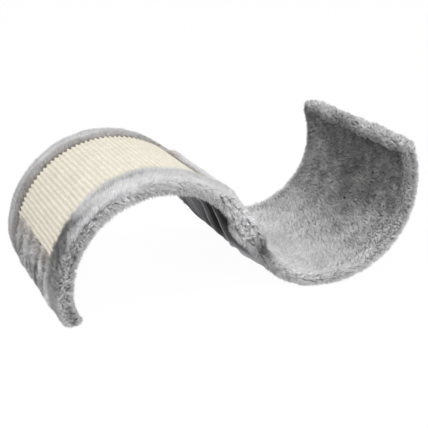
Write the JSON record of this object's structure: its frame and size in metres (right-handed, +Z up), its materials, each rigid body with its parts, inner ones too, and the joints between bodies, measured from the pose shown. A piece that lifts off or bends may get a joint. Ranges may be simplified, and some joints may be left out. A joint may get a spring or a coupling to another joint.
{
  "type": "wave cat scratcher",
  "caption": "Wave-shaped cat scratcher: a walk-over arch with a ribbed sisal mat runs on into a plush-lined cradle to lie in.",
  "frame": {"origin": "on the floor, under the middle of the object's box", "axes": "+X along the length from the arch to the cradle, +Y from the front to the rear, +Z up"},
  "size_m": [0.503, 0.286, 0.1877],
  "materials": {
    "plush": "light-grey short-pile plush",
    "sisal": "cream woven sisal, ribbed",
    "lining": "dark-grey thin lining cloth",
    "plywood": "bare bent plywood",
    "steel": "plain wire and screws"
  },
  "bodies": {
    "root": {"arch_front_band": "plush", "arch_rear_band": "plush", "foot_panel": "plush", "saddle_panel": "plush", "cradle_front_band": "plush", "cradle_rear_band": "plush", "seat_panel": "plush", "lip_band": "plush", "arch_shell": "plywood", "cradle_shell": "plywood", "splice_strip": "plywood", "splice_screw_1": "steel", "splice_screw_2": "steel", "splice_screw_3": "steel", "splice_screw_4": "steel", "splice_screw_5": "steel", "splice_screw_6": "steel", "splice_screw_7": "steel", "splice_screw_8": "steel", "staple_1": "steel", "staple_2": "steel", "staple_3": "steel", "staple_4": "steel", "staple_5": "steel", "staple_6": "steel", "staple_7": "steel", "staple_8": "steel", "staple_9": "steel", "staple_10": "steel", "staple_11": "steel", "staple_12": "steel", "staple_13": "steel", "staple_14": "steel", "staple_15": "steel", "staple_16": "steel", "staple_17": "steel", "staple_18": "steel", "staple_19": "steel", "staple_20": "steel", "staple_21": "steel", "staple_22": "steel", "staple_23": "steel", "staple_24": "steel", "staple_25": "steel", "staple_26": "steel", "staple_27": "steel", "staple_28": "steel", "staple_29": "steel", "staple_30": "steel", "staple_31": "steel", "staple_32": "steel", "staple_33": "steel", "staple_34": "steel", "staple_35": "steel", "staple_36": "steel", "sisal_mat": "sisal", "underside_lining": "lining"}
  },
  "joints": []
}
